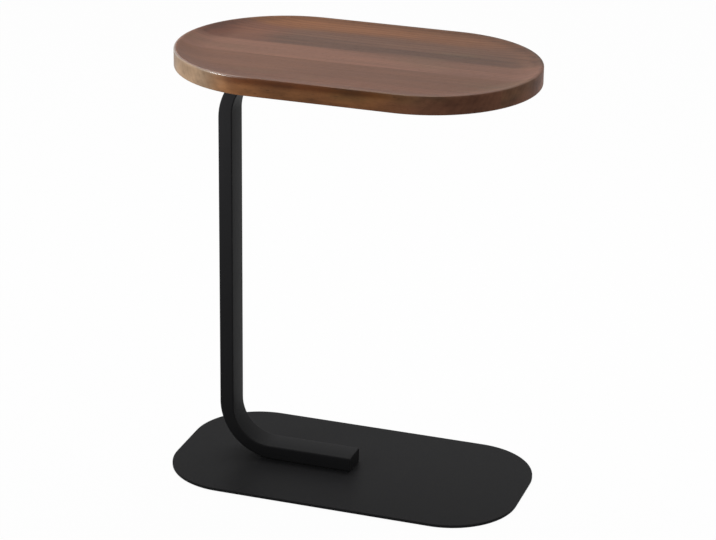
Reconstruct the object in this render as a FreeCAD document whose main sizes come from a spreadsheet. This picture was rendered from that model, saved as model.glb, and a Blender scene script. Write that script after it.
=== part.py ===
"""C-shaped side table: a dished wooden top on a bent steel tube and a flat steel base.

Frame: the origin is on the floor under the middle of the table, +X points from the
upright towards the open side of the C, +Y to the back and +Z up. Lengths are in mm.
"""
import FreeCAD, Part
import Sketcher
import math
import os
import re

doc = FreeCAD.newDocument("side_table")
sheet = doc.addObject("Spreadsheet::Sheet", "Sizes")

DRIVING_SIZES = {
    "table_height": 610,            # floor to the rim of the top
    "top_length": 500,              # stadium outline of the wooden top
    "top_width": 305,
    "top_thickness": 25,
    "top_edge_cut": 1.5,            # softened outer edges of the wood
    "rim_width": 5,                 # level land round the dish
    "dish_run": 38,                 # level length of the hollow slope inside the rim
    "dish_depth": 8,
    "tube_width": 40,               # rectangular tube, wide way across the table
    "tube_depth": 20,               # thin way, in the plane of the C
    "tube_wall": 1.5,
    "tube_corner_radius": 2,
    "bend_outer_radius": 80,        # both bends, on the outer face of the C
    "bend_inner_radius": 53,        # and on its inner face
    "stem_setback": 59,             # left edge of the base to the outer face of the upright
    "foot_length": 195,             # outer face of the upright to the end of the foot
    "arm_end_setback": 111,         # right edge of the top to the end of the arm
    "end_plate_thickness": 2,
    "base_length": 500,
    "base_width": 265,
    "base_thickness": 4,
    "base_corner_radius": 96,
    "pad_width": 22,                # square pads with cut corners, stuck under the base
    "pad_thickness": 2,
    "pad_corner_cut": 4,
    "pad_setback": 18,              # middle of a pad to the nearest edge of the base
    "bracket_thickness": 3,         # angle brackets welded beside the arm
    "bracket_width": 30,
    "bracket_reach": 30,            # from the side of the arm outwards
    "bracket_drop": 16,             # down the side of the arm
    "bracket_bend_radius": 2,       # inside the bend
    "bracket_corner_cut": 6,
    "bracket_setback": 54,          # end of the arm to the middle of the nearest bracket
    "thread_clearance": 0.05,       # radial, every screw in what it grips
    "top_screw_setback": 18,        # side of the arm to the middle of a top screw
    "top_screw_diameter": 6,        # hexagon-head wood screws
    "top_screw_length": 16,         # under the head
    "top_screw_flats": 10,
    "top_screw_head_height": 4,
    "bracket_hole_diameter": 6.6,
    "wood_hole_depth": 14,
    "base_screw_diameter": 8,       # countersunk machine screws
    "base_screw_length": 13,        # with the head
    "base_screw_head_diameter": 14.5,
    "base_screw_spacing": 66,       # along the foot
    "base_screw_setback": 24,       # end of the foot to the nearest screw
    "base_hole_diameter": 8.6,
    "hex_key_size": 5,
    "hex_socket_depth": 2.5,
    "nut_bar_length": 98,           # tapped bar inside the foot
    "nut_bar_width": 30,
    "nut_bar_thickness": 5,
}

WORKED_OUT_SIZES = {
    "top_underside": "=table_height - top_thickness",
    "dish_half_opening": "=top_width / 2 - rim_width",
    "dish_half_floor": "=dish_half_opening - dish_run",
    "end_centre": "=(top_length - top_width) / 2",
    "base_top": "=pad_thickness + base_thickness",
    "stem_left": "=base_length / 2 - stem_setback",
    "foot_middle": "=base_top + tube_depth / 2",
    "arm_middle": "=top_underside - tube_depth / 2",
    "foot_tube_length": "=foot_length - end_plate_thickness",
    "arm_end": "=top_length / 2 - arm_end_setback",
    "arm_tube_length": "=arm_end - end_plate_thickness + stem_left",
    "bracket_spacing": "=2 * (arm_end - bracket_setback)",
    "foot_end": "=foot_length - stem_left",
    "first_base_screw": "=foot_end - base_screw_setback - base_screw_spacing",
    "top_screw_gauge": "=tube_width + 2 * top_screw_setback",
    "top_shank_radius": "=top_screw_diameter / 2 - thread_clearance",
    "base_shank_radius": "=base_screw_diameter / 2 - thread_clearance",
    "base_screw_head_radius": "=base_screw_head_diameter / 2",
    "pad_diagonal": "=(base_corner_radius - pad_setback) * cos(45)",
    "corner_pad_x": "=base_length / 2 - base_corner_radius + pad_diagonal",
    "corner_pad_y": "=base_width / 2 - base_corner_radius + pad_diagonal",
    "middle_pad_y": "=base_width / 2 - pad_setback",
}

COUNTERSINK_ANGLE = 90


# ------------------------------------------------------------------ sizes

def fill_sheet():
    """One row for each size: its name in column A and its value in column B."""
    row = 0
    for block in (DRIVING_SIZES, WORKED_OUT_SIZES):
        for name, content in block.items():
            row += 1
            sheet.set("A%d" % row, name)
            sheet.set("B%d" % row, str(content))
            sheet.setAlias("B%d" % row, name)
    doc.recompute()


def in_sheet_words(formula):
    """The formula as objects outside the sheet have to write it."""
    def sheet_word(match):
        word = match.group()
        named = word in DRIVING_SIZES or word in WORKED_OUT_SIZES
        return "Sizes." + word if named else word
    return re.sub(r"[a-z]\w*", sheet_word, formula)


def size(formula):
    return float(sheet.evalExpression(in_sheet_words(formula)))


def bind(thing, prop, formula):
    thing.setExpression(prop, in_sheet_words(formula))


# ------------------------------------------------------------------ bodies

subparts = []


def new_body(label, x="0", y="0", z="0", half_turn=False):
    """A sub-part. Its label names its file, and its place follows the sheet."""
    body = doc.addObject("PartDesign::Body", label)
    body.Label = label
    if half_turn:
        body.Placement.Rotation = FreeCAD.Rotation(FreeCAD.Vector(0, 0, 1), 180)
    for axis, formula in (("x", x), ("y", y), ("z", z)):
        bind(body, "Placement.Base." + axis, formula)
    subparts.append(body)
    return body


def of_origin(body, role):
    return [item for item in body.Origin.OriginFeatures if item.Role == role][0]


def new_feature(body, kind, name, **settings):
    feature = body.newObject("PartDesign::" + kind, body.Name + "_" + name)
    for prop, setting in settings.items():
        setattr(feature, prop, setting)
    return feature


def pad(body, sketch, height, name="pad", **settings):
    feature = new_feature(body, "Pad", name, Profile=sketch, **settings)
    bind(feature, "Length", height)
    doc.recompute()
    return feature


def volume(shape):
    return sum(solid.Volume for solid in shape.Solids)


def cut(body, kind, sketch, name, sizes, **settings):
    """A pocket, groove or hole. It has to take something away."""
    doc.recompute()
    before = volume(body.Shape)
    feature = new_feature(body, kind, name, Profile=sketch, **settings)
    for prop, formula in sizes.items():
        bind(feature, prop, formula)
    doc.recompute()
    if volume(body.Shape) >= before:
        raise RuntimeError(feature.Label + " cuts nothing")
    return feature


def find_edges(shape, wanted):
    """Names of the edges whose middle and direction there pass the test."""
    names = []
    for number, edge in enumerate(shape.Edges, start=1):
        middle = (edge.FirstParameter + edge.LastParameter) / 2
        if wanted(edge.valueAt(middle), edge.tangentAt(middle)):
            names.append("Edge%d" % number)
    return names


def dress(body, kind, name, wanted, prop, formula):
    """A fillet or chamfer on the chosen edges of the body's latest feature."""
    doc.recompute()
    base = body.Tip
    edges = find_edges(base.Shape, wanted)
    feature = new_feature(body, kind, name, Base=(base, edges))
    bind(feature, prop, formula)
    doc.recompute()
    return feature


def repeat(body, features, **spacings):
    """One more copy of the features at each spacing along X_Axis, Y_Axis or both."""
    pattern = new_feature(body, "MultiTransform", "pattern", Originals=features)
    steps = []
    for role, spacing in spacings.items():
        step = new_feature(body, "LinearPattern", "step_" + role, Occurrences=2)
        step.Direction = (of_origin(body, role), [""])
        bind(step, "Length", spacing)
        steps.append(step)
    pattern.Transformations = steps
    body.Tip = pattern
    doc.recompute()


def repeat_whole_piece(body, **spacings):
    repeat(body, [item for item in body.Group if item.isDerivedFrom("PartDesign::Feature")], **spacings)


def near(a, b, tolerance=0.01):
    return abs(a - b) < tolerance


# ------------------------------------------------------------------ sketches

# Sketcher's numbers for its axes, and for the points of a line or arc. The origin is
# the start of the level axis.
H_AXIS, V_AXIS = range(-1, -3, -1)
ORIGIN = H_AXIS
START, END, CENTRE = range(1, 4)


def new_sketch(body, name, plane, x="0", y="0", z="0"):
    """A sketch on one of the body's own planes, moved by x, y, z in the plane's axes."""
    sketch = body.newObject("Sketcher::SketchObject", body.Name + "_" + name)
    sketch.AttachmentSupport = [(of_origin(body, plane), "")]
    sketch.MapMode = "FlatFace"
    for axis, formula in (("x", x), ("y", y), ("z", z)):
        bind(sketch, "AttachmentOffset.Base." + axis, formula)
    return sketch


def constrain(sketch, *terms):
    return sketch.addConstraint(Sketcher.Constraint(*terms))


def dimension(sketch, formula, kind, *terms):
    """A size in a sketch that the sheet drives."""
    index = constrain(sketch, kind, *terms, size(formula))
    name = "%s_%d" % (kind, index)
    sketch.renameConstraint(index, name)
    bind(sketch, "Constraints." + name, formula)


def add_line(sketch, start, end):
    return sketch.addGeometry(Part.LineSegment(FreeCAD.Vector(*start), FreeCAD.Vector(*end)), False)


def add_arc(sketch, centre, radius, first_angle, last_angle):
    circle = Part.Circle(FreeCAD.Vector(*centre), FreeCAD.Vector(0, 0, 1), radius)
    limits = math.radians(first_angle), math.radians(last_angle)
    return sketch.addGeometry(Part.ArcOfCircle(circle, *limits), False)


def add_circle(sketch, diameter):
    circle = Part.Circle(FreeCAD.Vector(0, 0), FreeCAD.Vector(0, 0, 1), size(diameter) / 2)
    index = sketch.addGeometry(circle, False)
    constrain(sketch, "Coincident", index, CENTRE, ORIGIN, START)
    dimension(sketch, diameter, "Diameter", index)


def add_polygon(sketch, corners):
    """A closed outline whose corners are pairs of formulas.

    A formula of 0 holds the corner on an axis, and one with a minus in front is measured
    the other way from the origin.
    """
    points = [(size(across), size(up)) for across, up in corners]
    lines = [add_line(sketch, a, b) for a, b in zip(points, points[1:] + points[:1])]
    for this, following in zip(lines, lines[1:] + lines[:1]):
        constrain(sketch, "Coincident", this, END, following, START)
    for index, corner in zip(lines, corners):
        for formula, kind, axis in zip(corner, ("DistanceX", "DistanceY"), (V_AXIS, H_AXIS)):
            if formula == "0":
                constrain(sketch, "PointOnObject", index, START, axis)
            elif formula.startswith("-"):
                dimension(sketch, formula[1:], kind, index, START, ORIGIN, START)
            else:
                dimension(sketch, formula, kind, ORIGIN, START, index, START)
    return lines


def add_rounded_rectangle(sketch, length, width, radius):
    """Centred on the sketch's origin, with round corners."""
    x, y, r = size(length) / 2, size(width) / 2, size(radius)
    bottom = add_line(sketch, (r - x, -y), (x - r, -y))
    right = add_line(sketch, (x, r - y), (x, y - r))
    top = add_line(sketch, (x - r, y), (r - x, y))
    left = add_line(sketch, (-x, y - r), (-x, r - y))
    corner_1 = add_arc(sketch, (x - r, r - y), r, 270, 360)
    corner_2 = add_arc(sketch, (x - r, y - r), r, 0, 90)
    corner_3 = add_arc(sketch, (r - x, y - r), r, 90, 180)
    corner_4 = add_arc(sketch, (r - x, r - y), r, 180, 270)
    ring = [bottom, corner_1, right, corner_2, top, corner_3, left, corner_4]
    for this, following in zip(ring, ring[1:] + ring[:1]):
        constrain(sketch, "Tangent", this, END, following, START)
    constrain(sketch, "Horizontal", top)
    constrain(sketch, "Vertical", left)
    for corner in (corner_2, corner_3, corner_4):
        constrain(sketch, "Equal", corner_1, corner)
    constrain(sketch, "Symmetric", bottom, START, bottom, END, V_AXIS)
    constrain(sketch, "Symmetric", right, START, right, END, H_AXIS)
    dimension(sketch, length, "DistanceX", left, START, right, START)
    dimension(sketch, width, "DistanceY", bottom, START, top, END)
    dimension(sketch, radius, "Radius", corner_1)


def add_rectangle(sketch, length, width):
    """Centred on the sketch's origin, with sharp corners."""
    x, y = "(%s) / 2" % length, "(%s) / 2" % width
    add_polygon(sketch, [("-" + x, "-" + y), (x, "-" + y), (x, y), ("-" + x, y)])


def add_stadium(sketch, length, width):
    """Two straight sides joined by half circles, centred on the sketch's origin."""
    r = size(width) / 2
    a = size(length) / 2 - r
    front = add_line(sketch, (-a, -r), (a, -r))
    right = add_arc(sketch, (a, 0), r, -90, 90)
    back = add_line(sketch, (a, r), (-a, r))
    left = add_arc(sketch, (-a, 0), r, 90, 270)
    ring = [front, right, back, left]
    for this, following in zip(ring, ring[1:] + ring[:1]):
        constrain(sketch, "Tangent", this, END, following, START)
    constrain(sketch, "Symmetric", front, START, front, END, V_AXIS)
    constrain(sketch, "Equal", right, left)
    constrain(sketch, "PointOnObject", right, CENTRE, H_AXIS)
    straight = "(%s) - (%s)" % (length, width)
    dimension(sketch, straight, "DistanceX", left, CENTRE, right, CENTRE)
    dimension(sketch, width, "DistanceY", front, START, back, END)


def add_hexagon(sketch, across_flats):
    """Centred on the sketch's origin, with two flats level."""
    half = size(across_flats) / 2
    corner_radius = half / math.cos(math.radians(30))
    around = Part.Circle(FreeCAD.Vector(0, 0), FreeCAD.Vector(0, 0, 1), corner_radius)
    circle = sketch.addGeometry(around, True)
    constrain(sketch, "Coincident", circle, CENTRE, ORIGIN, START)
    angles = [math.radians(60 * step) for step in range(6)]
    points = [(corner_radius * math.cos(a), corner_radius * math.sin(a)) for a in angles]
    lines = [add_line(sketch, a, b) for a, b in zip(points, points[1:] + points[:1])]
    for this, following in zip(lines, lines[1:] + lines[:1]):
        constrain(sketch, "Coincident", this, END, following, START)
        constrain(sketch, "PointOnObject", this, START, circle)
    for side in lines[1:]:
        constrain(sketch, "Equal", lines[0], side)
    constrain(sketch, "Horizontal", lines[1])
    half_width = "(%s) / 2" % across_flats
    dimension(sketch, half_width, "DistanceY", ORIGIN, START, lines[1], START)


# ------------------------------------------------------------------ wooden top

def dish_half_section(sketch):
    """Half of the dish cut across: a level floor and a hollow arc that rises to the rim."""
    floor_half, opening_half = size("dish_half_floor"), size("dish_half_opening")
    rim, depth, run = size("top_thickness"), size("dish_depth"), size("dish_run")
    hollow_radius = (run ** 2 + depth ** 2) / (2 * depth)
    slope = math.degrees(math.asin(run / hollow_radius))
    floor = rim - depth
    level = add_line(sketch, (0, floor), (floor_half, floor))
    hollow = add_arc(sketch, (floor_half, floor + hollow_radius), hollow_radius, -90, slope - 90)
    mouth = add_line(sketch, (opening_half, rim), (0, rim))
    middle = add_line(sketch, (0, rim), (0, floor))
    constrain(sketch, "Tangent", level, END, hollow, START)
    constrain(sketch, "Coincident", hollow, END, mouth, START)
    constrain(sketch, "Coincident", mouth, END, middle, START)
    constrain(sketch, "Coincident", middle, END, level, START)
    constrain(sketch, "PointOnObject", level, START, V_AXIS)
    constrain(sketch, "Horizontal", level)
    constrain(sketch, "Horizontal", mouth)
    constrain(sketch, "Vertical", middle)
    dimension(sketch, "top_thickness", "DistanceY", ORIGIN, START, mouth, END)
    dimension(sketch, "dish_depth", "DistanceY", level, START, mouth, END)
    dimension(sketch, "dish_half_floor", "DistanceX", level, START, level, END)
    dimension(sketch, "dish_half_opening", "DistanceX", mouth, END, mouth, START)


def mirror_cut(body, feature, plane, name):
    """Repeat a cut on the other side of one of the body's planes."""
    before = volume(body.Shape)
    mirrored = new_feature(body, "Mirrored", name, Originals=[feature])
    mirrored.MirrorPlane = (of_origin(body, plane), [""])
    body.Tip = mirrored
    doc.recompute()
    if volume(body.Shape) >= before:
        raise RuntimeError(mirrored.Label + " cuts nothing")


def wooden_top():
    """A stadium slab with a dish milled into its face and softened outer edges."""
    body = new_body("wooden_top", z="top_underside")
    outline = new_sketch(body, "outline", "XY_Plane")
    add_stadium(outline, "top_length", "top_width")
    pad(body, outline, "top_thickness")

    across = new_sketch(body, "dish_across", "YZ_Plane")
    dish_half_section(across)
    middle = cut(body, "Pocket", across, "dish_middle", {"Length": "top_length - top_width"}, Midplane=True)
    mirror_cut(body, middle, "XZ_Plane", "dish_middle_front")

    round_end = new_sketch(body, "dish_end", "XZ_Plane", x="end_centre")
    dish_half_section(round_end)
    right_end = cut(body, "Groove", round_end, "dish_right_end", {},
                    ReferenceAxis=(round_end, ["V_Axis"]), Angle=180, Midplane=True)
    mirror_cut(body, right_end, "YZ_Plane", "dish_left_end")

    rim, half_width = size("top_thickness"), size("top_width") / 2
    end_centre = size("end_centre")

    def from_spine(point):
        """Level distance from the line between the two end centres."""
        past_end = max(abs(point.x) - end_centre, 0)
        return math.hypot(past_end, point.y)

    def on_outline(point, tangent):
        level = near(tangent.z, 0) and (near(point.z, rim) or near(point.z, 0))
        return level and near(from_spine(point), half_width)

    dress(body, "Chamfer", "outer_edges", on_outline, "Size", "top_edge_cut")

    hole = new_sketch(body, "screw_hole", "XY_Plane", x="-bracket_spacing / 2", y="-top_screw_gauge / 2")
    add_circle(hole, "top_screw_diameter")
    drilled = cut(body, "Pocket", hole, "screw_hole_cut", {"Length": "wood_hole_depth"}, Reversed=True)
    repeat(body, [drilled], X_Axis="bracket_spacing", Y_Axis="top_screw_gauge")


# ------------------------------------------------------------------ bent tube and its ends

def frame_side(sketch, inwards):
    """The C seen from the side, drawn this far inside the faces of the tube.

    The inner wall bends tighter than the outer one leaves it room for, so the tube is
    thinner in its bends, as a press leaves it.
    """
    offset = size(inwards)
    left = offset - size("stem_left")
    low, high = size("base_top") + offset, size("top_underside") - offset
    depth = size("tube_depth") - 2 * offset
    outer, inner = size("bend_outer_radius") - offset, size("bend_inner_radius") + offset
    foot_end = size("foot_tube_length - stem_left")
    arm_end = size("arm_tube_length - stem_left")

    foot_bottom = add_line(sketch, (foot_end, low), (left + outer, low))
    low_outer = add_arc(sketch, (left + outer, low + outer), outer, 180, 270)
    stem_outside = add_line(sketch, (left, low + outer), (left, high - outer))
    high_outer = add_arc(sketch, (left + outer, high - outer), outer, 90, 180)
    arm_top = add_line(sketch, (left + outer, high), (arm_end, high))
    arm_close = add_line(sketch, (arm_end, high), (arm_end, high - depth))
    right, top, bottom = left + depth, high - depth, low + depth
    arm_bottom = add_line(sketch, (arm_end, top), (right + inner, top))
    high_inner = add_arc(sketch, (right + inner, top - inner), inner, 90, 180)
    stem_inside = add_line(sketch, (right, top - inner), (right, bottom + inner))
    low_inner = add_arc(sketch, (right + inner, bottom + inner), inner, 180, 270)
    foot_top = add_line(sketch, (right + inner, bottom), (foot_end, bottom))
    foot_close = add_line(sketch, (foot_end, bottom), (foot_end, low))

    constrain(sketch, "Tangent", foot_bottom, END, low_outer, END)
    constrain(sketch, "Tangent", low_outer, START, stem_outside, START)
    constrain(sketch, "Tangent", stem_outside, END, high_outer, END)
    constrain(sketch, "Tangent", high_outer, START, arm_top, START)
    constrain(sketch, "Tangent", arm_bottom, END, high_inner, START)
    constrain(sketch, "Tangent", high_inner, END, stem_inside, START)
    constrain(sketch, "Tangent", stem_inside, END, low_inner, START)
    constrain(sketch, "Tangent", low_inner, END, foot_top, START)
    for this, following in ((arm_top, arm_close), (arm_close, arm_bottom),
                            (foot_top, foot_close), (foot_close, foot_bottom)):
        constrain(sketch, "Coincident", this, END, following, START)
    for line in (foot_bottom, foot_top, arm_bottom, arm_top):
        constrain(sketch, "Horizontal", line)
    for line in (stem_outside, stem_inside, arm_close, foot_close):
        constrain(sketch, "Vertical", line)
    constrain(sketch, "Equal", low_outer, high_outer)
    constrain(sketch, "Equal", low_inner, high_inner)
    dimension(sketch, "bend_outer_radius - " + inwards, "Radius", low_outer)
    dimension(sketch, "bend_inner_radius + " + inwards, "Radius", low_inner)
    dimension(sketch, "stem_left - " + inwards, "DistanceX", stem_outside, START, ORIGIN, START)
    dimension(sketch, "base_top + " + inwards, "DistanceY", ORIGIN, START, foot_bottom, START)
    dimension(sketch, "top_underside - " + inwards, "DistanceY", ORIGIN, START, arm_top, END)
    thickness = "tube_depth - 2 * " + inwards
    dimension(sketch, thickness, "DistanceX", stem_outside, START, stem_inside, END)
    dimension(sketch, thickness, "DistanceY", foot_bottom, START, foot_top, END)
    dimension(sketch, thickness, "DistanceY", arm_bottom, START, arm_top, END)
    dimension(sketch, "foot_tube_length - " + inwards, "DistanceX", stem_outside, START, foot_close, START)
    dimension(sketch, "arm_tube_length - " + inwards, "DistanceX", stem_outside, START, arm_close, START)


def c_frame_tube():
    """One length of rectangular steel tube, bent twice the easy way into a C."""
    body = new_body("c_frame_tube")
    outside = new_sketch(body, "outside", "XZ_Plane")
    frame_side(outside, "0")
    pad(body, outside, "tube_width", "outside_pad", Midplane=True)

    half_width = size("tube_width") / 2

    def runs_along(point, tangent):
        """The long edges of the tube, but not the upright ones round its open ends."""
        at_an_end = near(abs(tangent.z), 1) and point.x > -size("stem_left") + size("tube_depth") + 1
        return near(abs(point.y), half_width) and not at_an_end

    dress(body, "Fillet", "long_edges", runs_along, "Radius", "tube_corner_radius")
    inside = new_sketch(body, "inside", "XZ_Plane")
    frame_side(inside, "tube_wall")
    cut(body, "Pocket", inside, "hollow", {"Length": "tube_width - 2 * tube_wall"}, Midplane=True)

    hole = new_sketch(body, "screw_hole", "XY_Plane", x="first_base_screw", z="base_top")
    add_circle(hole, "base_hole_diameter")
    drilled = cut(body, "Pocket", hole, "screw_hole_cut", {"Length": "2 * tube_wall"}, Reversed=True)
    repeat(body, [drilled], X_Axis="base_screw_spacing")


def end_plate(label, reach, height):
    """A plate that closes one end of the tube, welded on and ground flush."""
    body = new_body(label, x=reach + " - stem_left", z=height)
    outline = new_sketch(body, "outline", "YZ_Plane")
    add_rounded_rectangle(outline, "tube_width", "tube_depth", "tube_corner_radius")
    pad(body, outline, "end_plate_thickness")


# ------------------------------------------------------------------ fixing the top

def bracket(label, x, y, half_turn):
    """An angle bracket: one leg is welded to the side of the arm, one is under the wood."""
    body = new_body(label, x=x, y=y, z="top_underside", half_turn=half_turn)
    section = new_sketch(body, "section", "YZ_Plane")
    add_polygon(section, [
        ("0", "0"),
        ("bracket_reach", "0"),
        ("bracket_reach", "-bracket_thickness"),
        ("bracket_thickness", "-bracket_thickness"),
        ("bracket_thickness", "-bracket_drop"),
        ("0", "-bracket_drop"),
    ])
    pad(body, section, "bracket_width", Midplane=True)
    thickness, reach = size("bracket_thickness"), size("bracket_reach")

    def inside_bend(point, tangent):
        return near(point.y, thickness) and near(point.z, -thickness) and near(abs(tangent.x), 1)

    def outside_bend(point, tangent):
        return near(point.y, 0) and near(point.z, 0) and near(abs(tangent.x), 1)

    def leg_corner(point, tangent):
        return near(point.y, reach) and near(abs(tangent.z), 1)

    dress(body, "Fillet", "inside_bend", inside_bend, "Radius", "bracket_bend_radius")
    dress(body, "Fillet", "outside_bend", outside_bend, "Radius", "bracket_bend_radius + bracket_thickness")
    dress(body, "Chamfer", "corners", leg_corner, "Size", "bracket_corner_cut")
    hole = new_sketch(body, "screw_hole", "XY_Plane", y="top_screw_setback")
    add_circle(hole, "bracket_hole_diameter")
    cut(body, "Pocket", hole, "screw_hole_cut", {"Length": "2 * bracket_thickness"})


def brackets():
    for side, along in (("left", "-bracket_spacing / 2"), ("right", "bracket_spacing / 2")):
        bracket("bracket_front_" + side, along, "-tube_width / 2", half_turn=True)
        bracket("bracket_back_" + side, along, "tube_width / 2", half_turn=False)


def top_screws():
    """Hexagon-head wood screws, from below through the brackets into the top."""
    body = new_body("top_screws", x="-bracket_spacing / 2", y="-top_screw_gauge / 2",
                    z="top_underside - bracket_thickness")
    head = new_sketch(body, "head", "XY_Plane")
    add_hexagon(head, "top_screw_flats")
    pad(body, head, "top_screw_head_height", name="head_pad", Reversed=True)
    shank = new_sketch(body, "shank", "XY_Plane")
    add_circle(shank, "2 * top_shank_radius")
    pad(body, shank, "top_screw_length", name="shank_pad")
    repeat_whole_piece(body, X_Axis="bracket_spacing", Y_Axis="top_screw_gauge")


# ------------------------------------------------------------------ base

def base_plate():
    """A flat steel plate with generous corners and countersunk holes from below."""
    body = new_body("base_plate", z="pad_thickness")
    outline = new_sketch(body, "outline", "XY_Plane")
    add_rounded_rectangle(outline, "base_length", "base_width", "base_corner_radius")
    pad(body, outline, "base_thickness")
    hole = new_sketch(body, "screw_hole", "XY_Plane", x="first_base_screw")
    add_circle(hole, "base_hole_diameter")
    sizes = {
        "Diameter": "base_hole_diameter",
        "HoleCutDiameter": "base_screw_head_diameter",
    }
    drilled = cut(body, "Hole", hole, "screw_hole_cut", sizes, DepthType="ThroughAll",
                  HoleCutType="Countersink", HoleCutCountersinkAngle=COUNTERSINK_ANGLE, Reversed=True)
    repeat(body, [drilled], X_Axis="base_screw_spacing")


def base_screws():
    """Countersunk screws, flush under the base, up through the foot into the tapped bar."""
    body = new_body("base_screws", x="first_base_screw", z="pad_thickness")
    section = new_sketch(body, "half_section", "XZ_Plane")
    add_polygon(section, [
        ("0", "0"),
        ("base_screw_head_radius", "0"),
        ("base_shank_radius", "base_screw_head_radius - base_shank_radius"),
        ("base_shank_radius", "base_screw_length"),
        ("0", "base_screw_length"),
    ])
    new_feature(body, "Revolution", "turned", Profile=section, Angle=360,
                ReferenceAxis=(section, ["V_Axis"]))
    doc.recompute()
    socket = new_sketch(body, "hex_socket", "XY_Plane")
    add_hexagon(socket, "hex_key_size")
    cut(body, "Pocket", socket, "hex_socket_cut", {"Length": "hex_socket_depth"}, Reversed=True)
    repeat_whole_piece(body, X_Axis="base_screw_spacing")


def foot_nut_bar():
    """A tapped bar that lies on the lower wall inside the foot and takes the base screws."""
    body = new_body("foot_nut_bar", x="first_base_screw", z="base_top + tube_wall")
    outline = new_sketch(body, "outline", "XY_Plane", x="base_screw_spacing / 2")
    add_rectangle(outline, "nut_bar_length", "nut_bar_width")
    pad(body, outline, "nut_bar_thickness")
    hole = new_sketch(body, "tapped_hole", "XY_Plane")
    add_circle(hole, "base_screw_diameter")
    drilled = cut(body, "Pocket", hole, "tapped_hole_cut", {"Length": "2 * nut_bar_thickness"},
                  Reversed=True)
    repeat(body, [drilled], X_Axis="base_screw_spacing")


def base_pad(label, x, y):
    """A thin pad that keeps the steel off the floor."""
    body = new_body(label, x=x, y=y)
    outline = new_sketch(body, "outline", "XY_Plane")
    add_rectangle(outline, "pad_width", "pad_width")
    pad(body, outline, "pad_thickness")

    def upright_edge(_, tangent):
        return near(abs(tangent.z), 1)

    dress(body, "Chamfer", "corners", upright_edge, "Size", "pad_corner_cut")


def base_pads():
    for side, sign in (("front", "-"), ("back", "")):
        base_pad("pad_%s_left" % side, "-corner_pad_x", sign + "corner_pad_y")
        base_pad("pad_%s_middle" % side, "0", sign + "middle_pad_y")
        base_pad("pad_%s_right" % side, "corner_pad_x", sign + "corner_pad_y")


# ------------------------------------------------------------------ build, check, write

def check_document():
    for item in doc.Objects:
        if "Invalid" in item.State or "Error" in item.State:
            raise RuntimeError("%s is %s" % (item.Label, item.State))
        if item.TypeId == "Sketcher::SketchObject" and item.solve() != 0:
            raise RuntimeError(item.Label + " isn't solved")
    for body in subparts:
        if body.Shape.isNull() or not body.Shape.isValid() or not body.Shape.Solids:
            raise RuntimeError(body.Label + " has no sound shape")


def write_parts():
    os.makedirs("parts", exist_ok=True)
    for body in subparts:
        body.Shape.exportStep("parts/%s.step" % body.Label)


fill_sheet()
wooden_top()
c_frame_tube()
end_plate("arm_end_plate", "arm_tube_length", "arm_middle")
end_plate("foot_end_plate", "foot_tube_length", "foot_middle")
brackets()
top_screws()
base_plate()
base_screws()
foot_nut_bar()
base_pads()
doc.recompute()
check_document()
write_parts()
print("%d sub-parts written" % len(subparts))
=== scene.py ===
"""Looks of the C-shaped side table: a dished wooden top on a bent black tube and a flat base.

Everything is in metres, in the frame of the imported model: the floor is at height 0, the
open side of the C is towards +X and the back is towards +Y.
"""

import math

import bmesh
import bpy
from mathutils import Matrix, Vector

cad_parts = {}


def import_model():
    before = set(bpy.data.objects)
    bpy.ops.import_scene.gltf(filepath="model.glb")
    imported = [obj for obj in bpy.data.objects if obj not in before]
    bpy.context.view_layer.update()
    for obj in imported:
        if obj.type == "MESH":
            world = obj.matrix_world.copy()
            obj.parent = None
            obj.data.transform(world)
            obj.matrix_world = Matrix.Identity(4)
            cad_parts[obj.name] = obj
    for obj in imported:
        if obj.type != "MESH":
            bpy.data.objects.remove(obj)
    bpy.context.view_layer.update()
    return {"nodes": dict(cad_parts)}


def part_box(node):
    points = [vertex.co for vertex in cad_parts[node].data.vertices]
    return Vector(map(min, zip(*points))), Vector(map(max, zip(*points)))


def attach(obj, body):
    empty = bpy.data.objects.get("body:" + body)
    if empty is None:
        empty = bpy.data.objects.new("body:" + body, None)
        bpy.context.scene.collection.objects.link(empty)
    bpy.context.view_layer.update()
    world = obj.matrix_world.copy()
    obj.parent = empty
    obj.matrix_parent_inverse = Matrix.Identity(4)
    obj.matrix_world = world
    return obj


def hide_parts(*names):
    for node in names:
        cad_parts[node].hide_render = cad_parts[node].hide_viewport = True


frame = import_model()

MM = 0.001
BODY = "root"


# ------------------------------------------------------------------ modelling by hand

MERGE_DISTANCE = 0.01 * MM


def let_go():
    bpy.ops.object.select_all(action="DESELECT")


def take(piece):
    """The piece becomes the only selected object, and the active one."""
    let_go()
    piece.select_set(True)
    bpy.context.view_layer.objects.active = piece


def start(add_primitive, name, scale=(1, 1, 1), **settings):
    """Adds a primitive at its size and place and opens it for editing."""
    let_go()
    add_primitive(**settings)
    piece = bpy.context.active_object
    piece.name = piece.data.name = name
    piece.scale = scale
    bpy.ops.object.transform_apply(location=True, rotation=True, scale=True)
    bpy.ops.object.mode_set(mode="EDIT")
    return piece


def start_block(name, low, high):
    low, high = Vector(low), Vector(high)
    return start(bpy.ops.mesh.primitive_cube_add, name, size=1,
                 location=(low + high) / 2, scale=high - low)


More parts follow.
